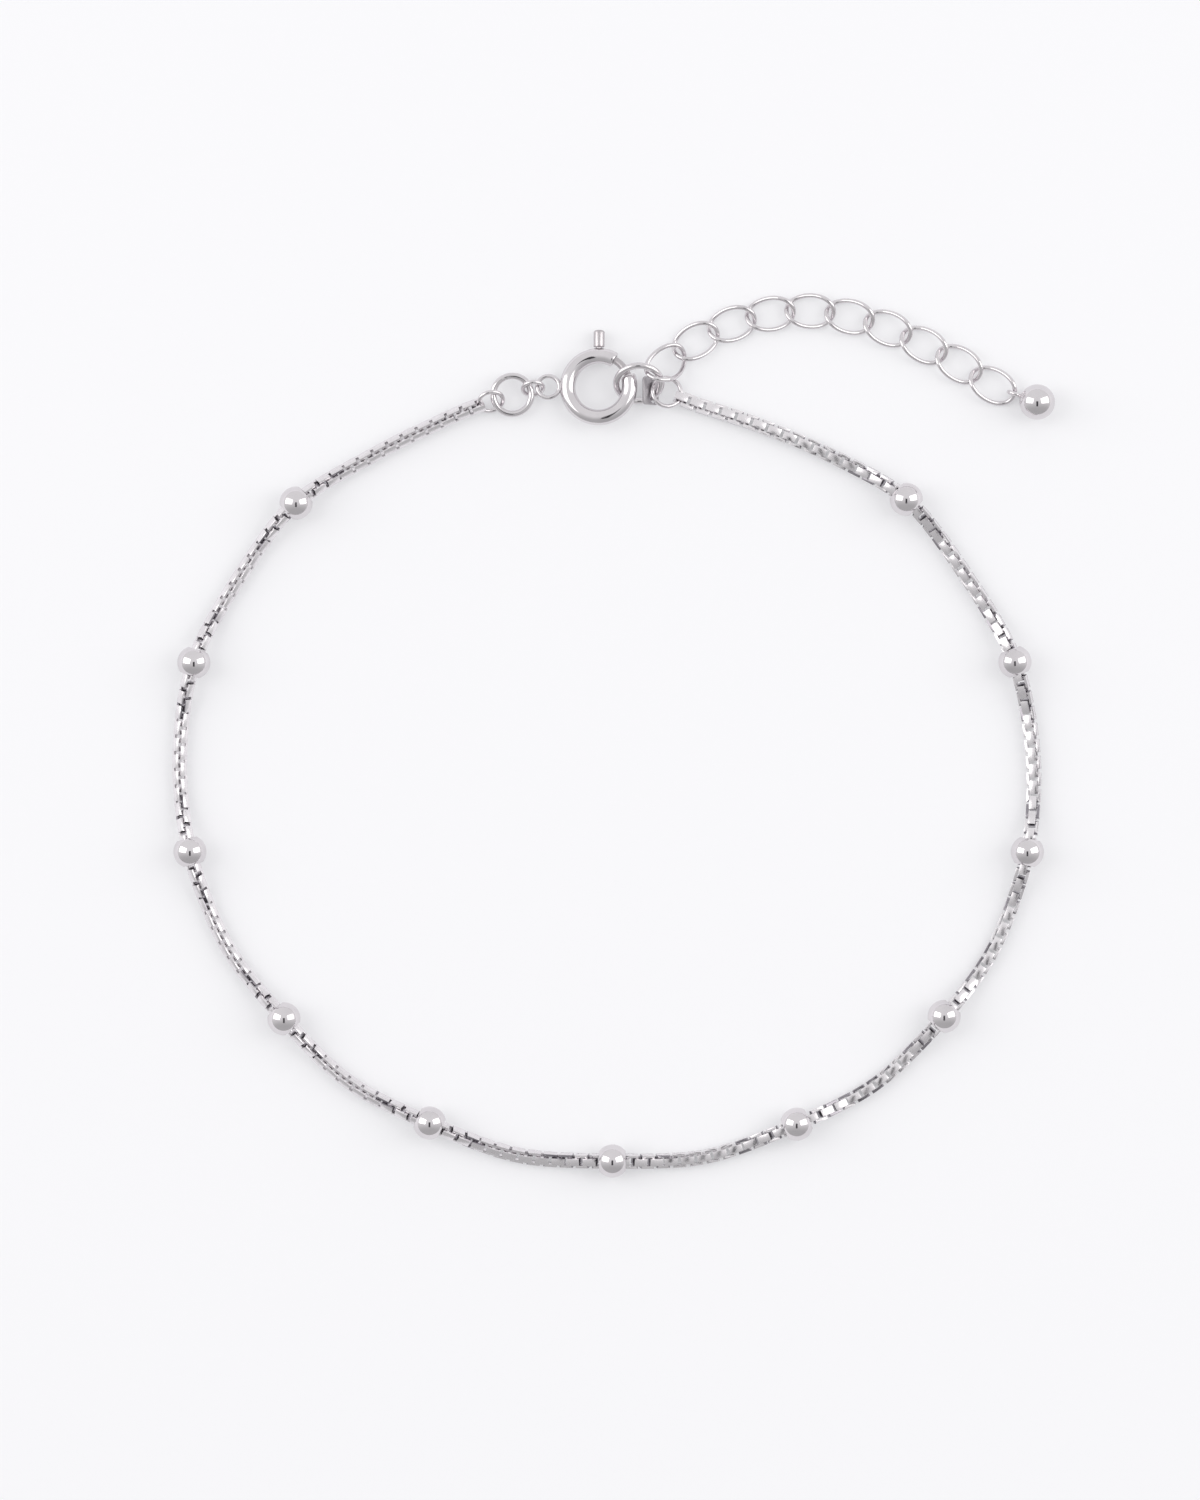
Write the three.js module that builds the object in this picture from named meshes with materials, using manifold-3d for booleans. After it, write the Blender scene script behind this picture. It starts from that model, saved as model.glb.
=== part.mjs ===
// Beaded silver anklet lying flat: a box chain threaded through eleven round beads, a spring ring
// clasp at one end, and an extension of curb links with an end bead at the other.
// Millimetres, +Z up, the floor at z = 0.

import * as THREE from "three";
import { mergeVertices } from "three/addons/utils/BufferGeometryUtils.js";
import Module from "manifold-3d";

const wasm = await Module();
wasm.setup();

// Box chain: each link is a flat strip bent to a square, turned a quarter against its neighbours
const CHAIN_LINK_HEIGHT = 1.2;
const CHAIN_STRIP_THICKNESS = 0.22;
const CHAIN_STRIP_WIDTH = 0.64;
const CHAIN_PITCH = 0.73;
const CHAIN_PLAY_IN_SPLIT = 0.04;

// Beads on the chain
const BEAD_RADIUS = 1.5;
const BEAD_BORE_RADIUS = 0.8;
const BEAD_SIDES = 10;
const BEAD_BANDS = 4;
const BEAD_LEVEL_RUN = 1.2;
const BEAD_SLOPE_RUN = 5;

// Course of the chain on the floor, from the clasp's side round to the extension's side;
// from the first beaded point on, every second point holds a bead
const CHAIN_COURSE = [
  [-14.7, 31.6],
  [-20.2, 28.9],
  [-27.5, 24.35],
  [-32.1, 18.5],
  [-36.5, 10.3],
  [-37.8, 1.95],
  [-36.85, -6.4],
  [-33.6, -14.8],
  [-28.55, -21.15],
  [-22.8, -26.8],
  [-15.7, -30.35],
  [-8.0, -33.2],
  [0.45, -33.7],
  [8.7, -33.35],
  [16.7, -30.45],
  [23.7, -26.9],
  [29.7, -20.95],
  [34.1, -15.0],
  [37.05, -6.45],
  [37.65, 1.7],
  [35.95, 10.35],
  [31.8, 17.8],
  [26.35, 24.7],
  [19.95, 28.5],
  [13.0, 31.4],
];
const FIRST_BEADED_POINT = 2;
const BEADED_POINT_STEP = 2;
// Roll of the chain at each bead, in degrees: on edge on the clasp's side, flat on the other
const CHAIN_ROLLS = [45, 45, 45, 45, 40, 14, 0, 0, -8, -22, -20];
const CHAIN_END_RUN = 4;
const CHAIN_END_STRAIGHT = 1.2;
// Headings in which the chain's two ends meet their rings
const CHAIN_START_HEADING = 20.556;
const CHAIN_END_HEADING = 158.304;
const SPLIT_BEAD = 6;

// Rings: centre, then heading, pitch and roll in degrees, centreline radius and wire radius
const CLASP_LINK = { at: [-6.58, 34.51, 0.93], turn: [1, 6, 54], radius: 0.9, wire: 0.2 };
const JUMP_RING_LEFT = { at: [-8.41, 33.94, 0.89], turn: [0, 3, 3], radius: 1.68, wire: 0.3 };
const CHAIN_END_LEFT = { at: [-10.31, 33.36, 0.98], turn: [15, 1, 45], radius: 1.1, wire: 0.2 };
const JUMP_RING_RIGHT = { at: [2.76, 34.93, 1.62], turn: [-2, 3, 41.5], radius: 2, wire: 0.3 };
const CHAIN_END_RIGHT = { at: [5.23, 34.19, 0.89], turn: [0, 14, -12], radius: 1.3, wire: 0.2 };
const SMALL_RING_STEPS = 12;
const LARGE_RING_STEPS = 14;
const SMALL_WIRE_SIDES = 5;
const LARGE_WIRE_SIDES = 6;

// Spring ring clasp: angles in degrees round its own axis, counted from its right side
const CLASP_AT = [-0.78, 34.64, 1.36];
const CLASP_TURN = [0, -5, -6.5];
const CLASP_RADIUS = 2.75;
const CLASP_TUBE_RADIUS = 0.7;
const CLASP_BORE_RADIUS = 0.46;
const CLASP_MOUTH_ANGLES = [20, 60];
const CLASP_BORE_END = 250;
const CLASP_SOCKET_END = 11;
const CLASP_SLOT_ANGLES = [81, 145];
const CLASP_SLOT_WIDTH = 0.56;
const CLASP_TAIL_AT = -4.46;
const CLASP_TAIL_RADIUS = 0.97;
const CLASP_TAIL_WIRE = 0.2;
const BOLT_WIRE_RADIUS = 0.34;
const BOLT_ANGLES = [15, 150];
const BOLT_LEVER_ANGLE = 90;
const BOLT_LEVER_REACH = 5.05;
const BOLT_LEVER_RADIUS = 0.5;
const BOLT_NECK_RADIUS = 0.22;
const BOLT_NECK_CLEARANCE = 0.06;
const BOLT_SHOULDER_RISE = 0.06;
const BOLT_CROWN_HEIGHT = 0.2;
const BOLT_CROWN_SHARE = 0.6;
const TUBE_STEPS = 18;
const TUBE_SIDES = 8;
const BORE_STEPS = 10;
const BOLT_STEPS = 9;
const BORE_SIDES = 6;
const SLOT_STEPS = 6;

// Tag: a bare plate hung by its one hole from the right jump ring's wire, at this angle round the ring
const TAG_RING_ANGLE = -47;
const TAG_TURN = [0, 52, 0];
const TAG_WIDTH = 2.1;
const TAG_LENGTH = 2.5;
const TAG_THICKNESS = 0.22;
const TAG_CORNER = 0.35;
const TAG_HOLE_RADIUS = 0.57;
const TAG_HOLE_AT = [0.36, -0.52];
const TAG_CORNER_STEPS = 2;

// Extension: flat twisted curb links, each a pitch from the last in the heading given for it.
// The first hangs down from its ring on a slope, so its step on the floor is shorter.
const CURB_PITCH = 3.523;
const CURB_PLAY = 0.237;
const CURB_WIRE_RADIUS = 0.21;
const CURB_HALF_LENGTH = (CURB_PITCH + CURB_PLAY) / 2 + CURB_WIRE_RADIUS;
const CURB_HALF_WIDTH = 1.395;
const CURB_TWIST = 0.8;
const CURB_HEIGHT = 0.61;
const CURB_STEPS = 12;
const CURB_FIRST = { at: [5.24, 36.65, 1.56], turn: [37.6, 27.8, 0.8] };
const CURB_SLOPE_LOSS = 0.25;
const CURB_SECOND_HEIGHT = 0.71;
const CURB_HEADINGS = [38.55, 25.28, 14.86, 4.11, -7.98, -16.99, -24.96, -28.23, -32.25];

// End bead with its soldered eye
const END_BEAD = { heading: -21.58, beyondLink: 2.067, height: 1.65, turn: [-21, -22, 2] };
const END_BEAD_RADIUS = 1.6;
const END_BEAD_SIDES = 10;
const END_EYE_REACH = 2.15;
const END_EYE_RADIUS = 0.66;
const END_EYE_WIRE = 0.19;

const SILVER = { color: 0xc9c7c9, roughness: 0.16, metalness: 1 };
const OXIDE_SILVER = { color: 0xbcbabd, roughness: 0.22, metalness: 1 };
const PLATE_SILVER = { color: 0xb2b0b4, roughness: 0.3, metalness: 1 };

const SHARE_TOLERANCE = 1e-5;
const ROUTE_SAMPLES = 720;

const FULL_TURN = 360;
const radians = THREE.MathUtils.degToRad;

function solidOf(geometry) {
  const bare = geometry.clone();
  bare.deleteAttribute("normal");
  bare.deleteAttribute("uv");
  const merged = mergeVertices(bare, SHARE_TOLERANCE);
  const vertProperties = new Float32Array(merged.attributes.position.array);
  const triVerts = new Uint32Array(merged.index.array);
  return new wasm.Manifold(new wasm.Mesh({ numProp: 3, vertProperties, triVerts }));
}

function geometryOf(solid) {
  const mesh = solid.getMesh();
  const geometry = new THREE.BufferGeometry();
  geometry.setAttribute("position", new THREE.BufferAttribute(new Float32Array(mesh.vertProperties), 3));
  geometry.setIndex(new THREE.BufferAttribute(new Uint32Array(mesh.triVerts), 1));
  return geometry;
}

function piece(name, geometry, finish) {
  geometry.computeVertexNormals();
  const mesh = new THREE.Mesh(geometry, new THREE.MeshStandardMaterial(finish));
  mesh.name = name;
  return mesh;
}

// Places an object at a point, turned by heading, pitch and roll
function lay(object, at, turn) {
  object.position.set(...at);
  object.rotation.set(radians(turn[2]), radians(turn[1]), radians(turn[0]), "ZYX");
  return object;
}

// A closed curve given by a function of an angle from 0 to a full turn
class LoopCurve extends THREE.Curve {
  constructor(pointAtAngle) {
    super();
    this.pointAtAngle = pointAtAngle;
  }

  getPoint(share, target = new THREE.Vector3()) {
    return target.copy(this.pointAtAngle(share * 2 * Math.PI));
  }
}

// An open arc round the z axis, angles in degrees
class ArcCurve extends THREE.Curve {
  constructor(radius, startAngle, endAngle) {
    super();
    this.radius = radius;
    this.startAngle = startAngle;
    this.endAngle = endAngle;
  }

  getPoint(share, target = new THREE.Vector3()) {
    const angle = radians(THREE.MathUtils.lerp(this.startAngle, this.endAngle, share));
    return target.set(this.radius * Math.cos(angle), this.radius * Math.sin(angle), 0);
  }
}

function roundShape(radius, sides) {
  const corners = [];
  for (let side = 0; side < sides; side += 1) {
    const angle = (2 * Math.PI * (side + 0.5)) / sides;
    corners.push(new THREE.Vector2(radius * Math.cos(angle), radius * Math.sin(angle)));
  }
  return new THREE.Shape(corners);
}

function arcRod(radius, wireRadius, startAngle, endAngle, steps, sides) {
  const extrudePath = new ArcCurve(radius, startAngle, endAngle);
  return new THREE.ExtrudeGeometry(roundShape(wireRadius, sides), { steps, extrudePath });
}

function ring(name, size, steps, sides) {
  const geometry = new THREE.TorusGeometry(size.radius, size.wire, sides, steps);
  return lay(piece(name, geometry, SILVER), size.at, size.turn);
}

// Where the end link of the box chain hangs on its ring: the link's centre and the axis of its hole.
// `heading` points along the chain towards the ring; `sense` is 1 where the route runs that way.
function chainHook(size, heading, sense, linkLength) {
  const frame = lay(new THREE.Object3D(), size.at, size.turn);
  frame.updateMatrix();
  const ringAxis = new THREE.Vector3().setFromMatrixColumn(frame.matrix, 2);
  const toRing = new THREE.Vector3(Math.cos(radians(heading)), Math.sin(radians(heading)), 0);
  const axis = new THREE.Vector3().crossVectors(ringAxis, toRing).normalize();
  const radial = new THREE.Vector3().crossVectors(axis, ringAxis).normalize();
  const wireAt = frame.position.clone().addScaledVector(radial, -size.radius);
  const halfStrip = CHAIN_STRIP_WIDTH / 2;
  const bulge = size.radius - Math.sqrt(size.radius ** 2 - halfStrip ** 2);
  const freeStart = -linkLength / 2 + 2 * CHAIN_STRIP_THICKNESS;
  const freeEnd = linkLength / 2 - CHAIN_STRIP_THICKNESS;
  const centre = wireAt.addScaledVector(toRing, bulge / 2 - (freeStart + freeEnd) / 2);
  return { centre, axis, along: toRing.multiplyScalar(sense) };
}

// Height of the chain's middle over the floor where it lies with a given roll
function restingHeight(roll) {
  const turn = Math.abs(radians(roll));
  return (CHAIN_LINK_HEIGHT * Math.cos(turn) + CHAIN_STRIP_WIDTH * Math.sin(turn)) / 2;
}

function isBeaded(index) {
  const lastBeadedPoint = FIRST_BEADED_POINT + (CHAIN_ROLLS.length - 1) * BEADED_POINT_STEP;
  const within = index >= FIRST_BEADED_POINT && index <= lastBeadedPoint;
  return within && (index - FIRST_BEADED_POINT) % BEADED_POINT_STEP === 0;
}

// The chain's route in space with its frames: arc length in, centre and two cross directions out
class ChainRoute {
  constructor(startHook, endHook) {
    const startStraight = startHook.centre.clone().addScaledVector(startHook.along, CHAIN_END_STRAIGHT);
    const endStraight = endHook.centre.clone().addScaledVector(endHook.along, -CHAIN_END_STRAIGHT);
    const plan = [startHook.centre, startStraight];
    for (const [x, y] of CHAIN_COURSE) {
      plan.push(new THREE.Vector3(x, y, 0));
    }
    plan.push(endStraight, endHook.centre);
    const flat = new THREE.CatmullRomCurve3(plan.map((p) => new THREE.Vector3(p.x, p.y, 0)));
    flat.arcLengthDivisions = ROUTE_SAMPLES;
    const beadPlaces = CHAIN_COURSE.filter((point, index) => isBeaded(index));
    const beadShares = beadPlaces.map(([x, y]) => nearestShare(flat, x, y));
    const flatLength = flat.getLength();
    this.rollKeys = [
      [0, hookRoll(startHook, false)],
      ...beadShares.map((share, index) => [share, CHAIN_ROLLS[index]]),
      [1, hookRoll(endHook, true)],
    ];
    const points = [];
    for (let sample = 0; sample <= ROUTE_SAMPLES; sample += 1) {
      const share = sample / ROUTE_SAMPLES;
      const point = flat.getPointAt(share);
      point.z = this.heightAt(share, flatLength, beadShares, startHook, endHook);
      points.push(point);
    }
    this.curve = new THREE.CatmullRomCurve3(points);
    this.curve.arcLengthDivisions = 4 * ROUTE_SAMPLES;
    this.length = this.curve.getLength();
    this.beadPoints = beadShares.map((share) => {
      const point = flat.getPointAt(share);
      return nearestShare(this.curve, point.x, point.y);
    });
  }

  rollAt(share) {
    const keys = this.rollKeys;
    let index = 1;
    while (index < keys.length - 1 && keys[index][0] < share) {
      index += 1;
    }
    const [startShare, startRoll] = keys[index - 1];
    const [endShare, endRoll] = keys[index];
    const step = THREE.MathUtils.smoothstep(share, startShare, endShare);
    return THREE.MathUtils.lerp(startRoll, endRoll, step);
  }

  heightAt(share, flatLength, beadShares, startHook, endHook) {
    const floorHeight = restingHeight(this.rollAt(share));
    let height = floorHeight;
    for (const beadShare of beadShares) {
      const away = Math.abs(share - beadShare) * flatLength;
      const rise = 1 - THREE.MathUtils.smoothstep(away, BEAD_LEVEL_RUN, BEAD_SLOPE_RUN);
      height += (BEAD_RADIUS - floorHeight) * rise;
    }
    for (const [endShare, hook] of [[0, startHook], [1, endHook]]) {
      const away = Math.abs(share - endShare) * flatLength;
      const rise = 1 - THREE.MathUtils.smoothstep(away, 0, CHAIN_END_RUN);
      height += (hook.centre.z - floorHeight) * rise;
    }
    return height;
  }

  frameAt(distance) {
    const share = THREE.MathUtils.clamp(distance / this.length, 0, 1);
    const centre = this.curve.getPointAt(share);
    const along = this.curve.getTangentAt(share);
    const side = new THREE.Vector3(0, 0, 1).cross(along).normalize();
    const up = new THREE.Vector3().crossVectors(along, side);
    const turn = radians(this.rollAt(share));
    const across = side.clone().multiplyScalar(Math.cos(turn)).addScaledVector(up, Math.sin(turn));
    const beside = new THREE.Vector3().crossVectors(along, across);
    return { centre, along, across, beside };
  }
}

function nearestShare(curve, x, y) {
  let best = 0;
  let bestDistance = Infinity;
  const searchSteps = 8 * ROUTE_SAMPLES;
  for (let step = 0; step <= searchSteps; step += 1) {
    const point = curve.getPointAt(step / searchSteps);
    const distance = Math.hypot(point.x - x, point.y - y);
    if (distance < bestDistance) {
      best = step / searchSteps;
      bestDistance = distance;
    }
  }
  return best;
}

// Roll that lines an end link's hole up with its ring's wire
function hookRoll(hook, turned) {
  const side = new THREE.Vector3(0, 0, 1).cross(hook.along).normalize();
  const up = new THREE.Vector3().crossVectors(hook.along, side);
  const sideShare = hook.axis.dot(side);
  const upShare = hook.axis.dot(up);
  const roll = turned ? Math.atan2(upShare, sideShare) : Math.atan2(-sideShare, upShare);
  const degrees = THREE.MathUtils.radToDeg(roll);
  return degrees - 180 * Math.round(degrees / 180);
}

// One joined run of box chain. Each link touches the next over one square, where the two
// crossing strips bear on each other; that square is left open so that the run is one solid.
class BoxChainRun {
  constructor(route, linkLength) {
    this.route = route;
    this.outer = [linkLength / 2, CHAIN_LINK_HEIGHT / 2];
    this.inner = [linkLength / 2 - CHAIN_STRIP_THICKNESS, CHAIN_LINK_HEIGHT / 2 - CHAIN_STRIP_THICKNESS];
    this.half = CHAIN_STRIP_WIDTH / 2;
    this.positions = [];
    this.triangles = [];
  }

  vertex(frame, along, across, beside) {
    const point = frame.centre.clone();
    point.addScaledVector(frame.along, along);
    point.addScaledVector(frame.across, across);
    point.addScaledVector(frame.beside, beside);
    this.positions.push(point.x, point.y, point.z);
    return this.positions.length / 3 - 1;
  }

  quad(a, b, c, d) {
    this.triangles.push(a, b, c, a, c, d);
  }

  // Square where two links touch, corners kept by the signs of across and beside
  contact(distance) {
    const frame = this.route.frameAt(distance);
    const corners = new Map();
    for (const across of [-1, 1]) {
      for (const beside of [-1, 1]) {
        corners.set(`${across},${beside}`, this.vertex(frame, 0, across * this.half, beside * this.half));
      }
    }
    return corners;
  }

  // One link: `turned` links have their hole's axis a quarter round from the others
  link(distance, turned, near, far) {
    const route = this.route.frameAt(distance);
    const frame = { ...route };
    if (turned) {
      frame.across = route.beside;
      frame.beside = route.across.clone().negate();
    }
    const corner = (contact, u, v) => contact.get(turned ? `${-v},${u}` : `${u},${v}`);
    const box = (size) => {
      const at = new Map();
      for (const x of [-1, 1]) {
        for (const u of [-1, 1]) {
          for (const v of [-1, 1]) {
            at.set(`${x},${u},${v}`, this.vertex(frame, x * size[0], u * size[1], v * this.half));
          }
        }
      }
      return (x, u, v) => at.get(`${x},${u},${v}`);
    };
    const outer = box(this.outer);
    const inner = box(this.inner);
    this.skin(outer);
    this.hole(inner, near, far, corner);
    for (const v of [-1, 1]) {
      this.flank(outer, inner, near, far, corner, v);
    }
  }

  skin(outer) {
    this.quad(outer(1, -1, -1), outer(1, 1, -1), outer(1, 1, 1), outer(1, -1, 1));
    this.quad(outer(-1, -1, 1), outer(-1, 1, 1), outer(-1, 1, -1), outer(-1, -1, -1));
    this.quad(outer(-1, 1, -1), outer(-1, 1, 1), outer(1, 1, 1), outer(1, 1, -1));
    this.quad(outer(1, -1, -1), outer(1, -1, 1), outer(-1, -1, 1), outer(-1, -1, -1));
  }

  hole(inner, near, far, corner) {
    this.quad(inner(1, 1, -1), inner(1, 1, 1), inner(-1, 1, 1), inner(-1, 1, -1));
    this.quad(inner(-1, -1, -1), inner(-1, -1, 1), inner(1, -1, 1), inner(1, -1, -1));
    if (far) {
      this.quad(inner(1, -1, 1), corner(far, -1, 1), corner(far, -1, -1), inner(1, -1, -1));
      this.quad(corner(far, 1, 1), inner(1, 1, 1), inner(1, 1, -1), corner(far, 1, -1));
    } else {
      this.quad(inner(1, -1, 1), inner(1, 1, 1), inner(1, 1, -1), inner(1, -1, -1));
    }
    if (near) {
      this.quad(inner(-1, -1, -1), corner(near, -1, -1), corner(near, -1, 1), inner(-1, -1, 1));
      this.quad(corner(near, 1, -1), inner(-1, 1, -1), inner(-1, 1, 1), corner(near, 1, 1));
    } else {
      this.quad(inner(-1, -1, -1), inner(-1, 1, -1), inner(-1, 1, 1), inner(-1, -1, 1));
    }
  }

  // One flat side of the bent strip: a square frame with the touching square's corners on its inner edge
  flank(outer, inner, near, far, corner, v) {
    const [outLength, outHeight] = this.outer;
    const [inLength, inHeight] = this.inner;
    const rim = [];
    const hole = [];
    const add = (list, index, x, u) => list.push({ index, point: new THREE.Vector2(x, u) });
    add(rim, outer(-1, -1, v), -outLength, -outHeight);
    add(rim, outer(1, -1, v), outLength, -outHeight);
    add(rim, outer(1, 1, v), outLength, outHeight);
    add(rim, outer(-1, 1, v), -outLength, outHeight);
    add(hole, inner(-1, -1, v), -inLength, -inHeight);
    if (near) {
      add(hole, corner(near, -1, v), -inLength, -this.half);
      add(hole, corner(near, 1, v), -inLength, this.half);
    }
    add(hole, inner(-1, 1, v), -inLength, inHeight);
    add(hole, inner(1, 1, v), inLength, inHeight);
    if (far) {
      add(hole, corner(far, 1, v), inLength, this.half);
      add(hole, corner(far, -1, v), inLength, -this.half);
    }
    add(hole, inner(1, -1, v), inLength, -inHeight);
    const all = [...rim, ...hole];
    const faces = THREE.ShapeUtils.triangulateShape(rim.map((e) => e.point), [hole.map((e) => e.point)]);
    for (const [a, b, c] of faces) {
      const doubled = new THREE.Vector2().subVectors(all[b].point, all[a].point);
      const turned = doubled.cross(new THREE.Vector2().subVectors(all[c].point, all[a].point));
      const order = turned * v > 0 ? [a, b, c] : [a, c, b];
      this.triangles.push(...order.map((index) => all[index].index));
    }
  }

  geometry() {
    const geometry = new THREE.BufferGeometry();
    geometry.setAttribute("position", new THREE.Float32BufferAttribute(this.positions, 3));
    geometry.setIndex(this.triangles);
    return geometry;
  }
}

function chainRun(name, route, linkLength, places, firstIndex) {
  const run = new BoxChainRun(route, linkLength);
  let near = null;
  places.forEach((place, order) => {
    const last = order === places.length - 1;
    const far = last ? null : run.contact((place + places[order + 1]) / 2);
    run.link(place, (firstIndex + order) % 2 === 1, near, far);
    near = far;
  });
  return piece(name, run.geometry(), OXIDE_SILVER);
}

// The whole chain in two runs that meet, linked but not touching, inside the middle bead
function boxChain(route) {
  const wanted = Math.round(route.length / CHAIN_PITCH) + 1;
  const count = wanted + (wanted % 2);
  const pitch = (route.length + CHAIN_PLAY_IN_SPLIT) / (count - 1);
  const linkLength = chainLinkLength();
  const splitAt = Math.round((route.beadPoints[SPLIT_BEAD - 1] * route.length) / pitch);
  const leftPlaces = [];
  const rightPlaces = [];
  for (let index = 0; index < count; index += 1) {
    if (index < splitAt) {
      leftPlaces.push(index * pitch);
    } else {
      rightPlaces.push(index * pitch - CHAIN_PLAY_IN_SPLIT);
    }
  }
  return [
    chainRun("box_chain_left", route, linkLength, leftPlaces, 0),
    chainRun("box_chain_right", route, linkLength, rightPlaces, splitAt),
  ];
}

function chainLinkLength() {
  return CHAIN_PITCH + 2 * CHAIN_STRIP_THICKNESS;
}

function ballProfile(radius, boreRadius, bands) {
  const edge = Math.acos(boreRadius / radius);
  const profile = [];
  for (let band = 0; band <= bands; band += 1) {
    const angle = THREE.MathUtils.lerp(-edge, edge, band / bands);
    profile.push(new THREE.Vector2(radius * Math.cos(angle), radius * Math.sin(angle)));
  }
  return profile;
}

function drilledBead(name, route, share) {
  const profile = ballProfile(BEAD_RADIUS, BEAD_BORE_RADIUS, BEAD_BANDS);
  profile.push(profile[0].clone());
  const cornerOutwards = Math.PI / BEAD_SIDES;
  const mesh = piece(name, new THREE.LatheGeometry(profile, BEAD_SIDES, cornerOutwards), SILVER);
  const frame = route.frameAt(share * route.length);
  mesh.position.copy(frame.centre);
  mesh.quaternion.setFromUnitVectors(new THREE.Vector3(0, 1, 0), frame.along);
  return mesh;
}

function beads(route) {
  return route.beadPoints.map((share, index) => {
    return drilledBead(`bead_${String(index + 1).padStart(2, "0")}`, route, share);
  });
}

function curbGeometry() {
  const curve = new LoopCurve((angle) => {
    const x = CURB_HALF_LENGTH * Math.cos(angle);
    const y = CURB_HALF_WIDTH * Math.sin(angle);
    return new THREE.Vector3(x, y, CURB_TWIST * Math.cos(angle) * Math.sin(angle));
  });
  return new THREE.TubeGeometry(curve, CURB_STEPS, CURB_WIRE_RADIUS, SMALL_WIRE_SIDES, true);
}

// A point of the floor a given run away in a given heading
function stepFrom(point, run, heading) {
  const angle = radians(heading);
  return new THREE.Vector3(point.x + run * Math.cos(angle), point.y + run * Math.sin(angle), 0);
}

// Centres of the curb links that lie on the floor
function curbCentres() {
  const [firstX, firstY] = CURB_FIRST.at;
  let centre = new THREE.Vector3(firstX, firstY, 0);
  return CURB_HEADINGS.map((heading, index) => {
    const run = index === 0 ? CURB_PITCH - CURB_SLOPE_LOSS : CURB_PITCH;
    centre = stepFrom(centre, run, heading);
    return centre;
  });
}

function endBeadCentre(centres) {
  const centre = stepFrom(centres.at(-1), CURB_HALF_LENGTH + END_BEAD.beyondLink, END_BEAD.heading);
  return centre.setZ(END_BEAD.height);
}

function extension(centres) {
  const geometry = curbGeometry();
  const links = [lay(piece("extension_link_01", geometry, SILVER), CURB_FIRST.at, CURB_FIRST.turn)];
  centres.forEach((centre, index) => {
    const before = centres[index - 1] ?? new THREE.Vector3(...CURB_FIRST.at);
    const after = centres[index + 1] ?? endBeadCentre(centres);
    const heading = THREE.MathUtils.radToDeg(Math.atan2(after.y - before.y, after.x - before.x));
    const height = index === 0 ? CURB_SECOND_HEIGHT : CURB_HEIGHT;
    const name = `extension_link_${String(index + 2).padStart(2, "0")}`;
    links.push(lay(piece(name, geometry, SILVER), [centre.x, centre.y, height], [heading, 0, 0]));
  });
  return links;
}

function endBead(centre) {
  const ballBands = 6;
  const eyeSteps = 10;
  const profile = ballProfile(END_BEAD_RADIUS, 0, ballBands);
  const ball = new THREE.LatheGeometry(profile, END_BEAD_SIDES);
  ball.rotateZ(Math.PI / 2);
  const eye = new THREE.TorusGeometry(END_EYE_RADIUS, END_EYE_WIRE, SMALL_WIRE_SIDES, eyeSteps);
  eye.rotateX(Math.PI / 2);
  eye.translate(-END_EYE_REACH, 0, 0);
  const solid = solidOf(ball).add(solidOf(eye));
  return lay(piece("end_bead", geometryOf(solid), SILVER), centre.toArray(), END_BEAD.turn);
}

function claspSlot() {
  const reach = CLASP_RADIUS + 1.5 * CLASP_TUBE_RADIUS;
  const [start, end] = CLASP_SLOT_ANGLES.map(radians);
  const sector = new THREE.Shape();
  sector.absarc(0, 0, reach, start, end, false);
  sector.absarc(0, 0, CLASP_RADIUS, end, start, true);
  const slot = new THREE.ExtrudeGeometry(sector, {
    depth: CLASP_SLOT_WIDTH,
    bevelEnabled: false,
    curveSegments: SLOT_STEPS,
  });
  slot.translate(0, 0, -CLASP_SLOT_WIDTH / 2);
  return slot;
}

// Hollow C of the clasp with its bore, the lever's slot and the soldered tail ring
function claspBody() {
  const [gapStart, gapEnd] = CLASP_MOUTH_ANGLES;
  const overrun = 2;
  const tube = arcRod(CLASP_RADIUS, CLASP_TUBE_RADIUS, gapEnd, gapStart + FULL_TURN, TUBE_STEPS, TUBE_SIDES);
  const boreStart = gapEnd - overrun;
  const bore = arcRod(CLASP_RADIUS, CLASP_BORE_RADIUS, boreStart, CLASP_BORE_END, BORE_STEPS, BORE_SIDES);
  const mouth = gapStart + overrun;
  const socket = arcRod(CLASP_RADIUS, CLASP_BORE_RADIUS, CLASP_SOCKET_END, mouth, 1, BORE_SIDES);
  const tailSides = SMALL_WIRE_SIDES;
  const tail = new THREE.TorusGeometry(CLASP_TAIL_RADIUS, CLASP_TAIL_WIRE, tailSides, SMALL_RING_STEPS);
  tail.translate(CLASP_TAIL_AT, 0, 0);
  let solid = solidOf(tube).add(solidOf(tail));
  for (const cut of [bore, socket, claspSlot()]) {
    solid = solid.subtract(solidOf(cut));
  }
  return piece("clasp_body", geometryOf(solid), SILVER);
}

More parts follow.
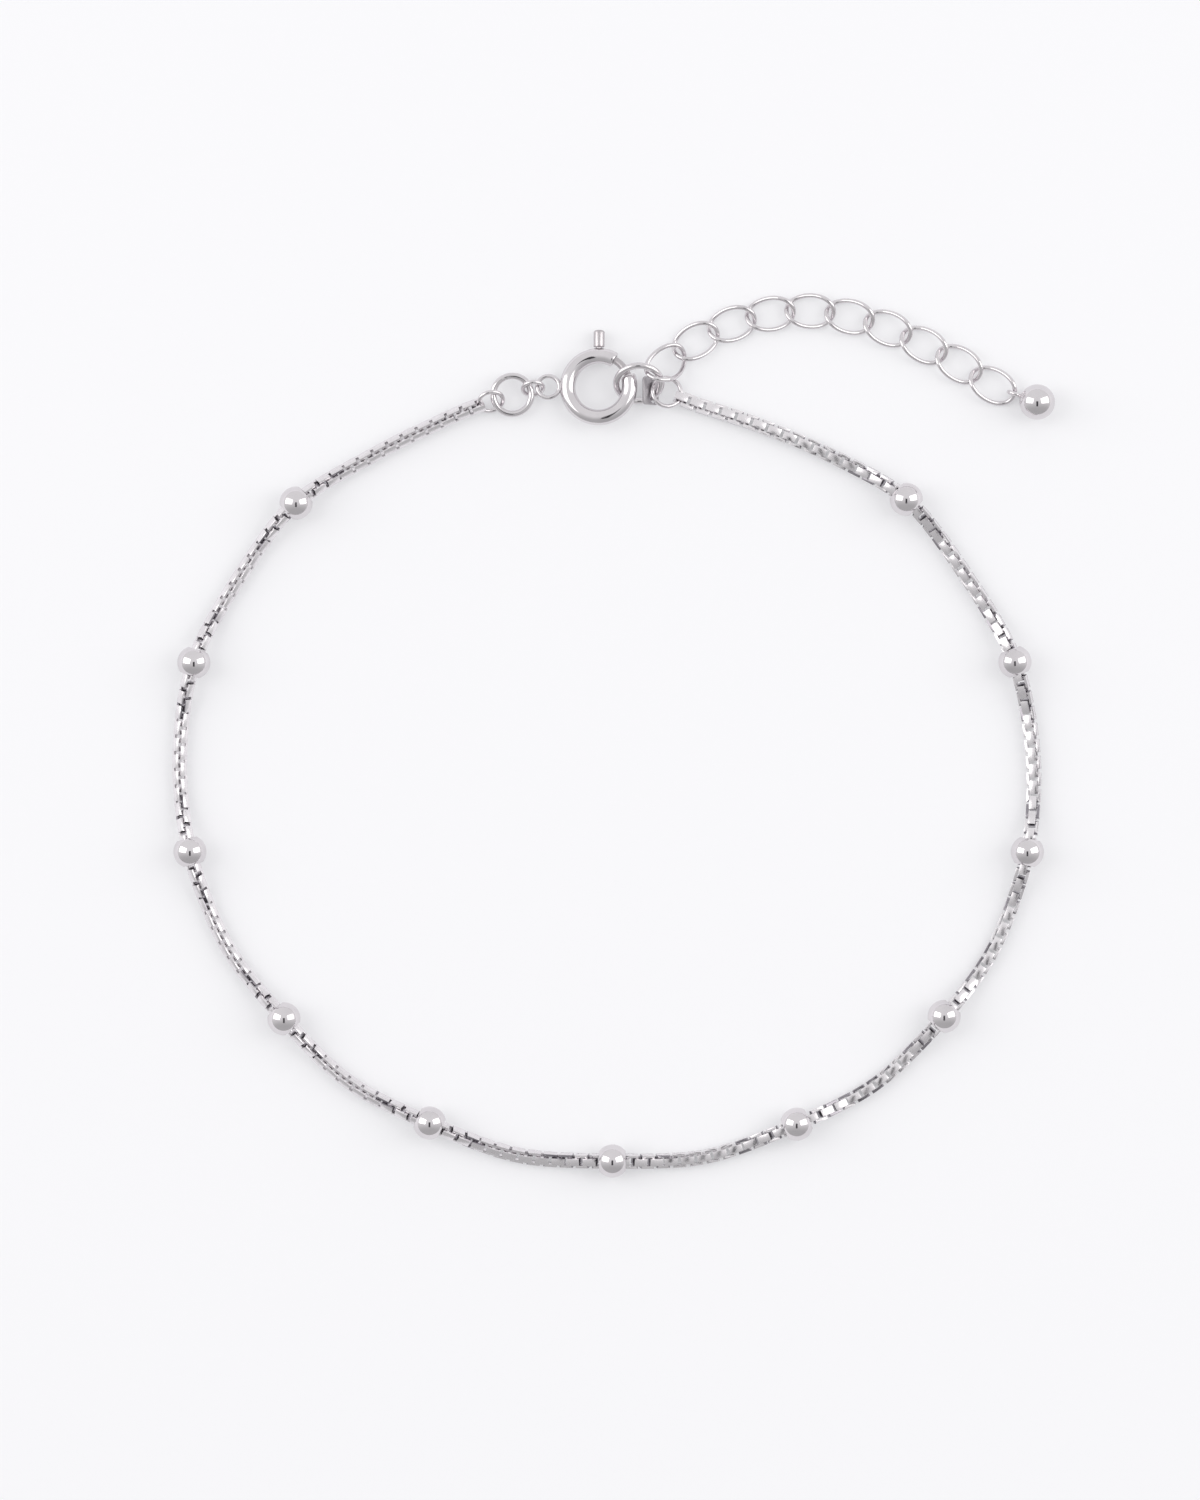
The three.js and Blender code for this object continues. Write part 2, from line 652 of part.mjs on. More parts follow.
// Sliding bolt of the clasp: a bent wire with its thumb lever
function claspBolt() {
  const [tip, tail] = BOLT_ANGLES;
  const wire = arcRod(CLASP_RADIUS, BOLT_WIRE_RADIUS, tip, tail, BOLT_STEPS, BORE_SIDES);
  const shoulder = CLASP_RADIUS + CLASP_TUBE_RADIUS + BOLT_NECK_CLEARANCE;
  const profile = [
    new THREE.Vector2(0, CLASP_RADIUS),
    new THREE.Vector2(BOLT_NECK_RADIUS, CLASP_RADIUS),
    new THREE.Vector2(BOLT_NECK_RADIUS, shoulder),
    new THREE.Vector2(BOLT_LEVER_RADIUS, shoulder + BOLT_SHOULDER_RISE),
    new THREE.Vector2(BOLT_LEVER_RADIUS, BOLT_LEVER_REACH - BOLT_CROWN_HEIGHT),
    new THREE.Vector2(BOLT_CROWN_SHARE * BOLT_LEVER_RADIUS, BOLT_LEVER_REACH),
    new THREE.Vector2(0, BOLT_LEVER_REACH),
  ];
  const lever = new THREE.LatheGeometry(profile, TUBE_SIDES);
  lever.rotateZ(radians(BOLT_LEVER_ANGLE - 90));
  return piece("clasp_bolt", geometryOf(solidOf(wire).add(solidOf(lever))), SILVER);
}

function clasp() {
  const group = new THREE.Group();
  group.add(claspBody(), claspBolt());
  return lay(group, CLASP_AT, CLASP_TURN);
}

function tag() {
  const x = TAG_WIDTH / 2;
  const y = TAG_LENGTH / 2;
  const corner = TAG_CORNER;
  const outline = new THREE.Shape();
  outline.absarc(x - corner, -y + corner, corner, -Math.PI / 2, 0, false);
  outline.absarc(x - corner, y - corner, corner, 0, Math.PI / 2, false);
  outline.absarc(-x + corner, y - corner, corner, Math.PI / 2, Math.PI, false);
  outline.absarc(-x + corner, -y + corner, corner, Math.PI, 1.5 * Math.PI, false);
  const hole = new THREE.Path();
  hole.absarc(...TAG_HOLE_AT, TAG_HOLE_RADIUS, 0, 2 * Math.PI, true);
  outline.holes.push(hole);
  const geometry = new THREE.ExtrudeGeometry(outline, {
    depth: TAG_THICKNESS,
    bevelEnabled: false,
    curveSegments: TAG_CORNER_STEPS,
  });
  const [holeX, holeY] = TAG_HOLE_AT;
  geometry.translate(-holeX, -holeY, -TAG_THICKNESS / 2);
  const ringFrame = lay(new THREE.Object3D(), JUMP_RING_RIGHT.at, JUMP_RING_RIGHT.turn);
  ringFrame.updateMatrix();
  const angle = radians(TAG_RING_ANGLE);
  const wireAt = new THREE.Vector3(Math.cos(angle), Math.sin(angle), 0);
  wireAt.multiplyScalar(JUMP_RING_RIGHT.radius).applyMatrix4(ringFrame.matrix);
  return lay(piece("tag", geometry, PLATE_SILVER), wireAt.toArray(), TAG_TURN);
}

function anklet() {
  const route = new ChainRoute(
    chainHook(CHAIN_END_LEFT, CHAIN_START_HEADING, -1, chainLinkLength()),
    chainHook(CHAIN_END_RIGHT, CHAIN_END_HEADING, 1, chainLinkLength()),
  );
  const group = new THREE.Group();
  group.add(...boxChain(route), ...beads(route));
  group.add(ring("chain_end_ring_left", CHAIN_END_LEFT, SMALL_RING_STEPS, SMALL_WIRE_SIDES));
  group.add(ring("jump_ring_left", JUMP_RING_LEFT, LARGE_RING_STEPS, LARGE_WIRE_SIDES));
  group.add(ring("clasp_link", CLASP_LINK, SMALL_RING_STEPS, SMALL_WIRE_SIDES));
  group.add(clasp());
  group.add(ring("jump_ring_right", JUMP_RING_RIGHT, LARGE_RING_STEPS, LARGE_WIRE_SIDES));
  group.add(ring("chain_end_ring_right", CHAIN_END_RIGHT, SMALL_RING_STEPS, SMALL_WIRE_SIDES));
  group.add(tag());
  const curbPlaces = curbCentres();
  group.add(...extension(curbPlaces), endBead(endBeadCentre(curbPlaces)));
  const bounds = new THREE.Box3().setFromObject(group, true);
  const middle = bounds.getCenter(new THREE.Vector3());
  group.position.set(-middle.x, -middle.y, -bounds.min.z);
  return group;
}

export default anklet();
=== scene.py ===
"""Looks of a beaded silver anklet that lies flat in a loop on a light table.

Every piece is built in metres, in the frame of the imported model, and stands for one of its nodes.
"""
import logging
import math
from dataclasses import dataclass, field
from enum import Enum
from typing import Sequence

import bmesh
import bpy
from mathutils import Euler, Matrix, Vector
from mathutils.bvhtree import BVHTree


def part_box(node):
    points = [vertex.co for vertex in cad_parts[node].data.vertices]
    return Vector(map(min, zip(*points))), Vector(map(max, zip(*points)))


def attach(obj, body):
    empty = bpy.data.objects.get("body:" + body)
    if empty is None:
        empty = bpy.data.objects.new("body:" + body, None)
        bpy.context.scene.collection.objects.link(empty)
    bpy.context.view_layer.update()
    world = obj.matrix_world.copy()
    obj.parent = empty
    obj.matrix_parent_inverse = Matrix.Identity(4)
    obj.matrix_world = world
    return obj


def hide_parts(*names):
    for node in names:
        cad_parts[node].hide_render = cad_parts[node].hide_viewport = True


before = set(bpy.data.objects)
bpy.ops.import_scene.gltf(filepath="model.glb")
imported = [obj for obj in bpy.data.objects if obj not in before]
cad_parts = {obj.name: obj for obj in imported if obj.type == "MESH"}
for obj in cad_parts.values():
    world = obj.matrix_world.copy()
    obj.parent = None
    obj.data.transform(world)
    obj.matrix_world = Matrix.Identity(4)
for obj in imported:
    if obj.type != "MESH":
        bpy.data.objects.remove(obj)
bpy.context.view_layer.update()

MM = 0.001
FULL_TURN = 2 * math.pi
ALONG_X = Vector((1.0, 0.0, 0.0))
ALONG_Y = Vector((0.0, 1.0, 0.0))
ALONG_Z = Vector((0.0, 0.0, 1.0))
# Layer that marks where painted shade goes
PAINTED_SHADE_LAYER = "painted_shade"
LOG = logging.getLogger("anklet")


class Body(Enum):
    """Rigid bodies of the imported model."""

    ANKLET = "anklet"
    BOLT = "clasp_bolt"


class Slot(Enum):
    """Material slots of the record."""

    POLISHED = "polished_silver"
    CHAIN = "chain_silver"
    PLATE = "plate_silver"


def linear_colour(code: str) -> tuple[float, float, float, float]:
    """Turns an sRGB hex colour to linear light.

    Args:
        code: The colour as "#rrggbb".

    Returns:
        Red, green, blue and an alpha of 1.
    """
    channels = [int(code[start:start + 2], 16) / 255 for start in (1, 3, 5)]
    linear = [c / 12.92 if c <= 0.04045 else ((c + 0.055) / 1.055) ** 2.4 for c in channels]
    return linear[0], linear[1], linear[2], 1.0


def add_node(
    tree: bpy.types.NodeTree,
    kind: str,
    settings: dict[str, object] | None = None,
    inputs: dict[str, object] | None = None,
    links: dict[str, bpy.types.NodeSocket] | None = None,
) -> bpy.types.Node:
    """Adds one shader node with its settings, values and links.

    Args:
        tree: The material's node tree.
        kind: The node's type name.
        settings: Properties of the node itself.
        inputs: Fixed values, by socket name.
        links: Sockets that feed the node, by socket name.

    Returns:
        The new node.
    """
    node = tree.nodes.new(kind)
    for key, value in (settings or {}).items():
        setattr(node, key, value)
    for key, value in (inputs or {}).items():
        node.inputs[key].default_value = value
    for key, socket in (links or {}).items():
        tree.links.new(socket, node.inputs[key])
    return node


@dataclass(frozen=True)
class SilverFinish:
    """Rhodium-bright 925 silver, worked and polished to one of several degrees.

    Attributes:
        name: The material's name.
        colour: Colour of the bare metal where light strikes it square, sRGB.
        shade: Colour where the polish has worn or begun to dull, sRGB.
        smooth: Roughness of the best polished places.
        hazy: Roughness of the places where handling has dulled the polish.
        haze_mm: Size of a patch of handling haze.
        scratch_mm: Spacing of the polishing wheel's hairlines.
        scratch_depth_mm: Height of the hairlines in the bump.
        painted_shade: Darker colour painted as shade where faces closely face another strip, sRGB, or
            nothing where there is none.
    """

    name: str
    colour: str
    shade: str
    smooth: float
    hazy: float
    haze_mm: float = 2.4
    scratch_mm: float = 0.16
    scratch_depth_mm: float = 0.0012
    painted_shade: str = ""

    def material(self) -> bpy.types.Material:
        """Builds the material: patches of haze in the roughness and fine hairlines in the bump.

        Returns:
            The finished material.
        """
        material = bpy.data.materials.new(self.name)
        material.use_nodes = True
        tree = material.node_tree
        shader = tree.nodes["Principled BSDF"]
        place = add_node(tree, "ShaderNodeTexCoord").outputs["Object"]
        haze = add_node(
            tree,
            "ShaderNodeTexNoise",
            inputs={"Scale": 1 / (self.haze_mm * MM), "Detail": 3.0, "Roughness": 0.55},
            links={"Vector": place},
        )
        rough = add_node(
            tree,
            "ShaderNodeMapRange",
            inputs={"From Min": 0.3, "From Max": 0.72, "To Min": self.smooth, "To Max": self.hazy},
            links={"Value": haze.outputs["Fac"]},
        )
        tone = add_node(
            tree,
            "ShaderNodeMix",
            settings={"data_type": "RGBA"},
            links={"Factor": haze.outputs["Fac"]},
        )
        tone.inputs["A"].default_value = linear_colour(self.colour)
        tone.inputs["B"].default_value = linear_colour(self.shade)
        # Hairlines of the polishing wheel run one way, so the pattern is drawn out along one axis
        stretched = add_node(
            tree,
            "ShaderNodeMapping",
            inputs={"Scale": (1.0, 0.12, 0.5), "Rotation": (0.3, 0.2, 0.7)},
            links={"Vector": place},
        )
        hairlines = add_node(
            tree,
            "ShaderNodeTexNoise",
            inputs={"Scale": 1 / (self.scratch_mm * MM), "Detail": 2.0, "Roughness": 0.6},
            links={"Vector": stretched.outputs["Vector"]},
        )
        bump = add_node(
            tree,
            "ShaderNodeBump",
            inputs={"Strength": 0.35, "Distance": self.scratch_depth_mm * MM},
            links={"Height": hairlines.outputs["Fac"]},
        )
        shader.inputs["Metallic"].default_value = 1.0
        colour = tone.outputs["Result"]
        # Painted shade: marked faces take a darker colour that stands in for the shade in the gaps between
        # strips
        if self.painted_shade:
            reach = add_node(tree, "ShaderNodeAttribute", settings={"attribute_name": PAINTED_SHADE_LAYER})
            painted_shade_mix = add_node(
                tree,
                "ShaderNodeMix",
                settings={"data_type": "RGBA"},
                links={"Factor": reach.outputs["Fac"], "A": colour},
            )
            painted_shade_mix.inputs["B"].default_value = linear_colour(self.painted_shade)
            colour = painted_shade_mix.outputs["Result"]
        tree.links.new(colour, shader.inputs["Base Color"])
        tree.links.new(rough.outputs["Result"], shader.inputs["Roughness"])
        tree.links.new(bump.outputs["Normal"], shader.inputs["Normal"])
        return material


# Beads, rings and clasp: machine polished and rhodium plated, so the eye gets near-mirror images
BRIGHT_SILVER = SilverFinish("bright_polished_silver", "#e9e5e7", "#cfcbce", 0.05, 0.13)
# Box chain: tumbled after it is woven, so its strips are bright; the dark between them is painted shade on
# the faces that closely face another strip
TUMBLED_SILVER = SilverFinish(
    "tumbled_chain_silver",
    "#f5f2f4",
    "#d9d5d8",
    0.17,
    0.32,
    haze_mm=1.1,
    scratch_mm=0.1,
    # Painted shade colour for the gaps between strips
    painted_shade="#99959b",
)
# Clasp bolt: harder silver rubbed dull by the thumb, so it stays grey beside the bright tube
RUBBED_SILVER = SilverFinish("rubbed_bolt_silver", "#cbc6c8", "#aca8ab", 0.27, 0.4)
# Tag: rolled sheet, brushed rather than polished, so it stays an even soft grey
ROLLED_SILVER = SilverFinish(
    "rolled_sheet_silver",
    "#c9c6c9",
    "#aaa7aa",
    0.4,
    0.52,
    haze_mm=1.6,
    scratch_mm=0.12,
    scratch_depth_mm=0.003,
)


@dataclass(frozen=True)
class PaperSweep:
    """Thin matt paper on a light table: the light from below keeps it white and its shadows faint.

    Attributes:
        colour: Colour of what it sends back of the light from above, sRGB.
        glow_colour: Colour of the light that comes through it, sRGB.
        glow: Strength of that light.
        fibre_mm: Size of the paper's faint mottling.
    """

    colour: str = "#cdcdcf"
    glow_colour: str = "#f8f8fa"
    glow: float = 0.342
    fibre_mm: float = 9.0

    def material(self) -> bpy.types.Material:
        """Builds the paper's material.

        Returns:
            The finished material.
        """
        material = bpy.data.materials.new("seamless_paper")
        material.use_nodes = True
        tree = material.node_tree
        shader = tree.nodes["Principled BSDF"]
        place = add_node(tree, "ShaderNodeTexCoord").outputs["Object"]
        mottle = add_node(
            tree,
            "ShaderNodeTexNoise",
            inputs={"Scale": 1 / (self.fibre_mm * MM), "Detail": 4.0},
            links={"Vector": place},
        )
        rough = add_node(
            tree,
            "ShaderNodeMapRange",
            inputs={"To Min": 0.62, "To Max": 0.74},
            links={"Value": mottle.outputs["Fac"]},
        )
        shader.inputs["Base Color"].default_value = linear_colour(self.colour)
        shader.inputs["Emission Color"].default_value = linear_colour(self.glow_colour)
        shader.inputs["Emission Strength"].default_value = self.glow
        tree.links.new(rough.outputs["Result"], shader.inputs["Roughness"])
        return material


@dataclass(frozen=True)
class FeltCard:
    """Plain board of the studio, which the metal mirrors: unlit and matt.

    Attributes:
        name: The material's name.
        colour: Its colour, sRGB.
    """

    name: str
    colour: str

    def material(self) -> bpy.types.Material:
        """Builds the board's material.

        Returns:
            The finished material.
        """
        material = bpy.data.materials.new(self.name)
        material.use_nodes = True
        shader = material.node_tree.nodes["Principled BSDF"]
        shader.inputs["Base Color"].default_value = linear_colour(self.colour)
        shader.inputs["Roughness"].default_value = 0.9
        return material


@dataclass(frozen=True)
class Place:
    """Where a piece lies.

    Attributes:
        at: Its centre, in millimetres from the loop's own middle.
        turn: Its heading, pitch and roll, in degrees.
    """

    at: tuple[float, float, float]
    turn: tuple[float, float, float] = (0.0, 0.0, 0.0)

    def matrix(self, shift: Vector) -> Matrix:
        """Gives the placing matrix in metres.

        Args:
            shift: What the layout is moved by, in millimetres.

        Returns:
            A four by four matrix for meshes in millimetres.
        """
        heading, pitch, roll = (math.radians(angle) for angle in self.turn)
        turned = Euler((roll, pitch, heading), "XYZ").to_matrix().to_4x4()
        return Matrix.Scale(MM, 4) @ Matrix.Translation(Vector(self.at) + shift) @ turned


def node_centre(node: str) -> Vector:
    """Gives the middle of a node's box.

    Args:
        node: The node's name.

    Returns:
        The middle, in metres.
    """
    low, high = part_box(node)
    return (Vector(low) + Vector(high)) / 2


def node_mesh(node: str) -> bpy.types.Mesh:
    """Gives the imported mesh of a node, which is only read.

    Args:
        node: The node's name.

    Returns:
        Its mesh.
    """
    return bpy.data.objects[node].data


def shade_mesh(bm: bmesh.types.BMesh, smooth_angle: float) -> None:
    """Shades a mesh smooth but for its sharp edges.

    Args:
        bm: The mesh, which is changed.
        smooth_angle: Edges sharper than this, in degrees, stay crisp.
    """
    limit = math.radians(smooth_angle)
    for face in bm.faces:
        face.smooth = True
    for edge in bm.edges:
        edge.smooth = len(edge.link_faces) == 2 and edge.calc_face_angle(0.0) < limit


def finish_mesh(bm: bmesh.types.BMesh, smooth_angle: float = 40.0) -> None:
    """Merges doubles, turns the faces outwards and shades the mesh.

    Args:
        bm: The mesh, which is changed.
        smooth_angle: Edges sharper than this, in degrees, stay crisp.
    """
    bmesh.ops.remove_doubles(bm, verts=bm.verts, dist=1e-7)
    bmesh.ops.recalc_face_normals(bm, faces=bm.faces)
    shade_mesh(bm, smooth_angle)


def add_piece(
    name: str,
    bm: bmesh.types.BMesh,
    material: bpy.types.Material,
    node: str,
    body: Body = Body.ANKLET,
) -> bpy.types.Object:
    """Makes a finished mesh a piece that stands for a node.

    Args:
        name: The new piece's name.
        bm: Its mesh in metres, in the frame; it is freed.
        material: Its finish.
        node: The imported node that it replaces.
        body: The body that it rides on.

    Returns:
        The new object.
    """
    mesh = bpy.data.meshes.new(name)
    bm.to_mesh(mesh)
    bm.free()
    mesh.materials.append(material)
    piece = bpy.data.objects.new(name, mesh)
    bpy.context.scene.collection.objects.link(piece)
    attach(piece, body.value)
    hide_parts(node)
    LOG.info("%s: %d faces", name, len(mesh.polygons))
    return piece


def spin_profile(
    bm: bmesh.types.BMesh, profile: Sequence[tuple[float, float]], steps: int, closed: bool
) -> list[bmesh.types.BMVert]:
    """Turns a profile of radius and height once round the z axis.

    Args:
        bm: The mesh, which gains the new shape.
        profile: Points of radius and height, in order.
        steps: Steps of the full turn.
        closed: Whether the profile's last point joins its first.

    Returns:
        The new vertices.
    """
    before = set(bm.verts)
    verts = [bm.verts.new((radius, 0.0, height)) for radius, height in profile]
    edges = [bm.edges.new(pair) for pair in zip(verts, verts[1:])]
    if closed:
        edges.append(bm.edges.new((verts[-1], verts[0])))
    bmesh.ops.spin(
        bm,
        geom=verts + edges,
        cent=(0.0, 0.0, 0.0),
        axis=(0.0, 0.0, 1.0),
        dvec=(0.0, 0.0, 0.0),
        angle=FULL_TURN,
        steps=steps,
        use_merge=True,
        use_duplicate=False,
    )
    return [vert for vert in bm.verts if vert not in before]


def sweep_wire(
    bm: bmesh.types.BMesh,
    stations: Sequence[Matrix],
    radii: Sequence[float],
    sides: int,
    closed: bool,
) -> list[bmesh.types.BMEdge]:
    """Draws a round wire through a row of stations, whose x and y axes cross the wire.

    Args:
        bm: The mesh, which gains the wire.
        stations: One matrix for each section.
        radii: The wire's radius at each section.
        sides: Sides of each section.
        closed: Whether the last section joins the first.

    Returns:
        The edges of the first and last sections.
    """
    loops: list[list[bmesh.types.BMEdge]] = []
    for station, radius in zip(stations, radii):
        made = bmesh.ops.create_circle(bm, segments=sides, radius=radius, matrix=station)
        loops.append(list(dict.fromkeys(edge for vert in made["verts"] for edge in vert.link_edges)))
    pairs = list(zip(loops, loops[1:]))
    if closed:
        pairs.append((loops[-1], loops[0]))
    for first, second in pairs:
        bmesh.ops.bridge_loops(bm, edges=first + second)
    return loops[0] + loops[-1]


def section_at(centre: Vector, along: Vector, outward: Vector) -> Matrix:
    """Gives a section's matrix.

    Args:
        centre: The section's middle.
        along: The wire's direction.
        outward: A way out of the curve.

    Returns:
        A matrix whose x and y axes cross the wire.
    """
    forward = along.normalized()
    across = (outward - outward.dot(forward) * forward).normalized()
    beside = forward.cross(across)
    turned = Matrix((across, beside, forward)).transposed().to_4x4()
    return Matrix.Translation(centre) @ turned


def ring_sections(
    radius: float, steps: int, centre: Vector = Vector(), second: Vector = ALONG_Y
) -> list[Matrix]:
    """Gives the sections of a whole ring of wire.

    Args:
        radius: Its centreline radius.
        steps: How many sections there are.
        centre: Its middle.
        second: The direction that spans the ring's plane together with x.

    Returns:
        One matrix for each section.
    """
    return [arc_section(FULL_TURN * step / steps, radius, centre, second) for step in range(steps)]


def arc_section(
    angle: float, radius: float, centre: Vector = Vector(), second: Vector = ALONG_Y
) -> Matrix:
    """Gives one section of a wire that is bent round.

    Args:
        angle: Where the section is, in radians from the x axis.
        radius: The wire's centreline radius.
        centre: Middle of the bend.
        second: The direction that spans the bend's plane together with x.

    Returns:
        The section's matrix.
    """
    outward = math.cos(angle) * ALONG_X + math.sin(angle) * second
    along = math.cos(angle) * second - math.sin(angle) * ALONG_X
    return section_at(centre + radius * outward, along, outward)


@dataclass
class Layout:
    """Where the rings, the clasp and the end bead lie, from the loop's own middle.

    Attributes:
        left_ring: Place of the round jump ring between the chain's left end and the clasp.
        shift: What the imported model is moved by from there, in millimetres.
    """

    left_ring: Place = Place((-8.41, 33.94, 0.89), (0.0, 3.0, 3.0))
    shift: Vector = field(init=False)

    def __post_init__(self) -> None:
        """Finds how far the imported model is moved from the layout."""
        self.shift = node_centre("jump_ring_left") / MM - Vector(self.left_ring.at)


@dataclass
class WireRing:
    """One closed ring of round wire, with its soldered joint.

    Attributes:
        node: The node that it stands for.
        place: Where it lies.
        radius: Centreline radius, in millimetres.
        wire: Wire radius, in millimetres.
        joint_angle: Where the soldered joint is, in degrees round the ring.
        drawn: Share of its stock's radius that the wire keeps when it is bent and polished.
        seam_depth: Depth of the line at the soldered joint, as a share of the wire's radius.
        seam_width: Half width of that line, in degrees.
        steps: Sections of the ring.
        sides: Sides of each section.
    """

    node: str
    place: Place
    radius: float
    wire: float
    joint_angle: float
    drawn: float = 0.965
    seam_depth: float = 0.05
    seam_width: float = 5.0
    steps: int = 72
    sides: int = 20

    def build(self, layout: Layout, material: bpy.types.Material) -> bpy.types.Object:
        """Builds the ring.

        Args:
            layout: The layout that it lies in.
            material: Its finish.

        Returns:
            The new piece.
        """
        bm = bmesh.new()
        radii = [self.wire * self.thickness_at(360 * step / self.steps) for step in range(self.steps)]
        sweep_wire(bm, ring_sections(self.radius, self.steps), radii, self.sides, closed=True)
        bmesh.ops.transform(bm, matrix=self.place.matrix(layout.shift), verts=bm.verts)
        finish_mesh(bm)
        return add_piece(f"{self.node}_wire", bm, material, self.node)

    def thickness_at(self, angle: float) -> float:
        """Gives the wire's thickness at an angle, with a fine line at its joint.

        Args:
            angle: Where round the ring, in degrees.

        Returns:
            The thickness as a share of the stock's.
        """
        away = abs((angle - self.joint_angle + 180) % 360 - 180)
        return self.drawn - self.seam_depth * max(0.0, 1 - away / self.seam_width)


@dataclass
class RoundBead:
    """A hollow bead, its mouths turned in round the chain.

    Attributes:
        node: The node that it stands for.
        radius: Outer radius, in millimetres.
        mouth: Radius of the two mouths.
        lip: Thickness of the rolled lip at each mouth.
        steps: Steps round the bead.
        bands: Bands from one lip to the other.
    """

    node: str
    radius: float = 1.47
    mouth: float = 0.8
    lip: float = 0.09
    steps: int = 56
    bands: int = 26

    def profile(self) -> list[tuple[float, float]]:
        """Gives the bead's closed section: the ball, a rolled lip at each mouth and the bore.

        Returns:
            Points of radius and height, in millimetres.
        """
        start = math.acos((self.mouth + self.lip) / self.radius)
        points = []
        for band in range(self.bands + 1):
            angle = -start + 2 * start * band / self.bands
            points.append((self.radius * math.cos(angle), self.radius * math.sin(angle)))
        top = points[-1][1]
        upper = [
            (self.mouth + 0.3 * self.lip, top - 0.02 * self.lip),
            (self.mouth, top - 0.5 * self.lip),
            (self.mouth, top - 2.2 * self.lip),
        ]
        lower = [(radius, -height) for radius, height in reversed(upper)]
        return points + upper + lower

    def build(self, material: bpy.types.Material) -> bpy.types.Object:
        """Builds the bead along the axis of its node.

        Args:
            material: Its finish.

        Returns:
            The new piece.
        """
        bm = bmesh.new()
        spin_profile(bm, self.profile(), self.steps, closed=True)
        turn = ALONG_Z.rotation_difference(self.axis()).to_matrix().to_4x4()
        centre = node_centre(self.node)
        placed = Matrix.Translation(centre) @ turn @ Matrix.Scale(MM, 4)
        bmesh.ops.transform(bm, matrix=placed, verts=bm.verts)
        finish_mesh(bm, 35.0)
        return add_piece(f"{self.node}_ball", bm, material, self.node)

    def axis(self) -> Vector:
        """Finds the bore's direction: the bead is shortest along it, because its mouths are flat.

        Returns:
            A direction in the table's plane.
        """
        centre = node_centre(self.node)
        best = ALONG_Y
        low = float("inf")
        tries = 360
        for step in range(tries):
            angle = math.pi * step / tries
            way = Vector((math.cos(angle), math.sin(angle), 0.0))
            reach = max(abs((vert.co - centre).dot(way)) for vert in node_mesh(self.node).vertices)
            if reach < low:
                low = reach
                best = way
        return best


@dataclass
class BoxChain:
    """One run of box chain, its strips' edges rounded by tumbling.

    Attributes:
        node: The node that it stands for.
        edge_round: Radius of the strips' edges, in millimetres.
        flat_angle: Facets that bend less than this, in degrees, become one face.
        sharp_angle: Edges that bend more than this, in degrees, are rounded.
        painted_shade_reach: Faces closer than this to another strip get painted shade, in millimetres.
    """

    node: str
    edge_round: float = 0.04
    flat_angle: float = 4.0
    sharp_angle: float = 30.0
    painted_shade_reach: float = 0.45

    def build(self, material: bpy.types.Material) -> bpy.types.Object:
        """Builds the run from the node's own links.

        Args:
            material: Its finish.

        Returns:
            The new piece.
        """
        bm = bmesh.new()
        bm.from_mesh(node_mesh(self.node))
        bmesh.ops.remove_doubles(bm, verts=bm.verts, dist=2e-6)
        bmesh.ops.dissolve_limit(
            bm, angle_limit=math.radians(self.flat_angle), verts=bm.verts, edges=bm.edges
        )
        sharp = math.radians(self.sharp_angle)
        edges = [e for e in bm.edges if len(e.link_faces) == 2 and e.calc_face_angle_signed(0.0) > sharp]
        bmesh.ops.bevel(
            bm,
            geom=edges,
            offset=self.edge_round * MM,
            offset_type="OFFSET",
            affect="EDGES",
            segments=2,
            profile=0.5,
            material=-1,
            clamp_overlap=True,
        )
        shade_mesh(bm, 50.0)
        # Painted shade: faces that closely face another strip are marked for a darker colour
        self.mark_painted_shade(bm)
        return add_piece(f"{self.node}_links", bm, material, self.node)

    def mark_painted_shade(self, bm: bmesh.types.BMesh) -> None:
        """Marks the faces that face another strip closely for painted shade, the dark of the gaps between
        strips.

        Args:
            bm: The run's mesh.
        """
        layer = bm.faces.layers.float.new(PAINTED_SHADE_LAYER)
        tree = BVHTree.FromBMesh(bm)
        skin = 0.002 * MM
        for face in bm.faces:
            start = face.calc_center_median() + skin * face.normal
            hit = tree.ray_cast(start, face.normal, self.painted_shade_reach * MM)
            face[layer] = 0.0 if hit[0] is None else 1.0


@dataclass
class CurbLink:
    """A flat curb link: an oval of round wire with a twist, so that it lies flat on its neighbours.

    Attributes:
        half_length: Half the oval's centreline length, in millimetres.
        half_width: Half its centreline width.
        twist: Height of the twist.
        wire: Wire radius.
        steps: Sections of the link.
        sides: Sides of each section.
    """

    half_length: float = 2.09
    half_width: float = 1.395
    twist: float = 0.8
    wire: float = 0.207
    steps: int = 72
    sides: int = 18

    def mesh(self) -> bmesh.types.BMesh:
        """Builds one link round the origin, in millimetres.

        Returns:
            The link's mesh.
        """
        bm = bmesh.new()
        stations = []
        for step in range(self.steps):
            angle = FULL_TURN * step / self.steps
            cosine, sine = math.cos(angle), math.sin(angle)
            length, width = self.half_length, self.half_width
            centre = Vector((length * cosine, width * sine, self.twist * cosine * sine))
            along = Vector((-length * sine, width * cosine, self.twist * math.cos(2 * angle)))
            stations.append(section_at(centre, along, Vector((cosine, sine, 0.0))))
        sweep_wire(bm, stations, [self.wire] * self.steps, self.sides, closed=True)
        return bm


